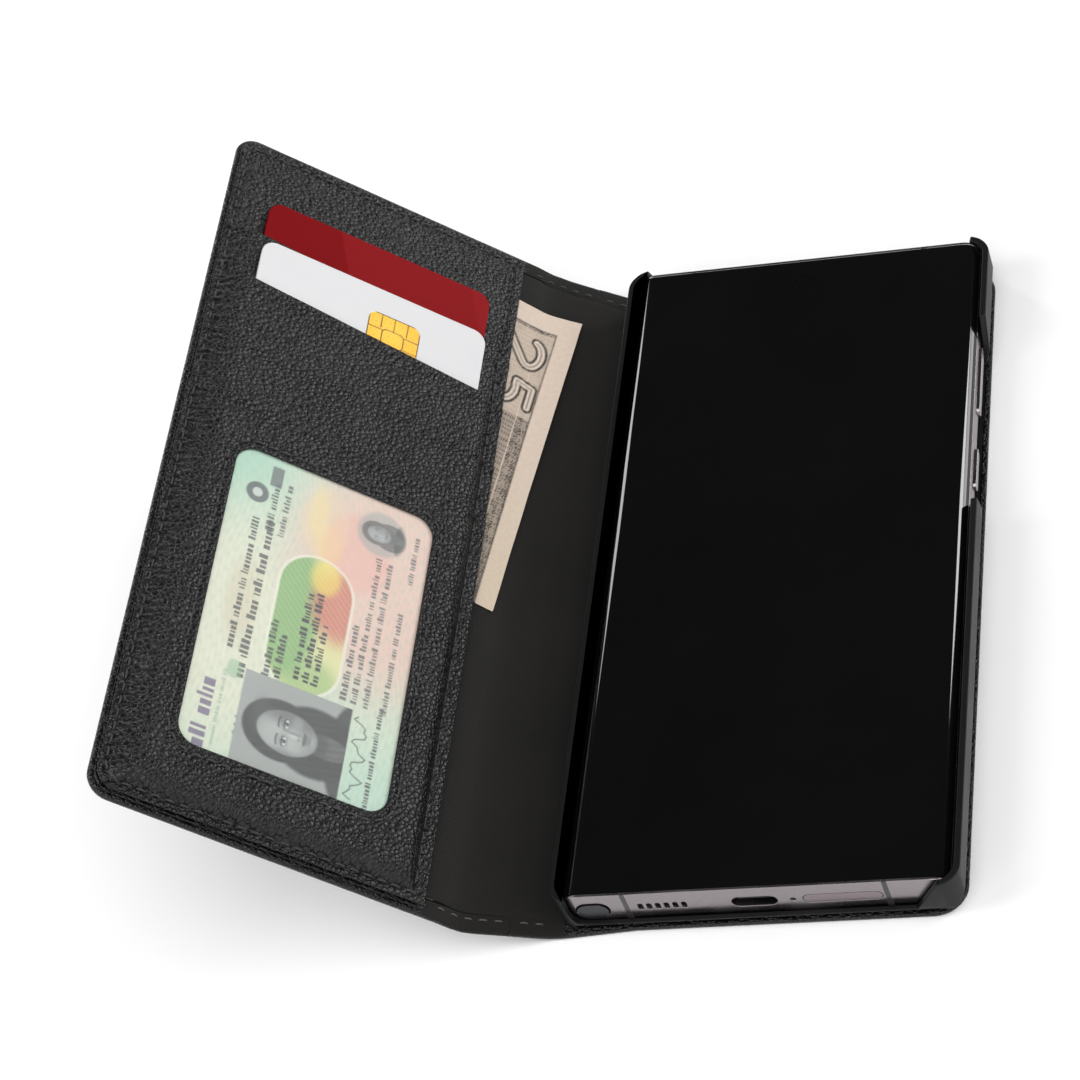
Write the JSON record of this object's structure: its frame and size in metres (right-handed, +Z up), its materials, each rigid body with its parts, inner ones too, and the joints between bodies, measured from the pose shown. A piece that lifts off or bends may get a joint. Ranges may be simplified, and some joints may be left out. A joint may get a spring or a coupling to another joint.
{
  "type": "phone wallet case",
  "caption": "Leather folio wallet case lying open: card pockets and an ID window on the raised flap, a slab phone snapped into the tray.",
  "frame": {"origin": "on the underside of the back leather, on the phone's centreline, halfway up the phone", "axes": "+X to the right of the screen, +Y to the phone's top edge, +Z up out of the screen"},
  "size_m": [0.1574, 0.173, 0.0684],
  "materials": {
    "leather": "pebbled, semi-matte",
    "lining": "matte woven",
    "board": "raw",
    "tray": "satin",
    "phone_metal": "polished",
    "glass": "gloss",
    "port_plastic": "matte",
    "card_red": "satin",
    "card_white": "satin",
    "contact_gold": "polished",
    "clear_film": "clear gloss",
    "id_print": "printed",
    "note_paper": "matte"
  },
  "bodies": {
    "case_back": {"back_leather": "leather", "back_lining": "lining", "phone_tray": "tray", "phone_frame": "phone_metal", "display_glass": "glass", "front_camera": "glass", "rear_glass": "glass", "rear_lens_upper": "glass", "rear_lens_middle": "glass", "rear_lens_lower": "glass", "rear_lens_side": "glass", "rear_flash": "glass", "usb_tongue": "port_plastic"},
    "volume_rocker": {"volume_rocker": "phone_metal"},
    "power_button": {"power_button": "phone_metal"},
    "stylus": {"stylus": "phone_metal"},
    "sim_tray": {"sim_tray": "phone_metal"},
    "spine": {"spine_leather": "leather", "spine_lining": "lining"},
    "flap": {"flap_leather": "leather", "flap_board": "board", "flap_lining": "lining", "banknote": "note_paper", "pocket_back": "leather", "slot_layer_1": "leather", "slot_layer_2": "leather", "slot_layer_3": "leather", "id_window_film": "clear_film", "id_window_panel": "leather"},
    "card_red": {"card_red": "card_red"},
    "card_white": {"card_white": "card_white", "card_white_chip": "contact_gold"},
    "id_card": {"id_card": "id_print"}
  },
  "joints": [
    {"name": "spine_fold", "type": "hinge", "parent": "case_back", "child": "spine", "pos_m": [-0.0417, 0, 0.0004], "axis": [0, 1, 0], "range_deg": [-25, 65]},
    {"name": "flap_fold", "type": "hinge", "parent": "spine", "child": "flap", "pos_m": [-0.05838, 0, 0.00818], "axis": [0, 1, 0], "range_deg": [-19, 71], "deforming": ["banknote"]},
    {"name": "card_red_slide", "type": "slide", "parent": "flap", "child": "card_red", "axis": [0, 1, 0], "range_m": [0, 0.078]},
    {"name": "card_white_slide", "type": "slide", "parent": "flap", "child": "card_white", "axis": [0, 1, 0], "range_m": [0, 0.076]},
    {"name": "id_card_slide", "type": "slide", "parent": "flap", "child": "id_card", "axis": [0, 1, 0], "range_m": [0, 0.096]},
    {"name": "volume_press", "type": "slide", "parent": "case_back", "child": "volume_rocker", "axis": [-1, 0, 0], "range_m": [0, 0.0003], "stiffness_N_per_m": 150},
    {"name": "power_press", "type": "slide", "parent": "case_back", "child": "power_button", "axis": [-1, 0, 0], "range_m": [0, 0.0003], "stiffness_N_per_m": 150},
    {"name": "stylus_slide", "type": "slide", "parent": "case_back", "child": "stylus", "axis": [0, -1, 0], "range_m": [0, 0.106]},
    {"name": "sim_tray_slide", "type": "slide", "parent": "case_back", "child": "sim_tray", "axis": [0, -1, 0], "range_m": [0, 0.018]}
  ]
}
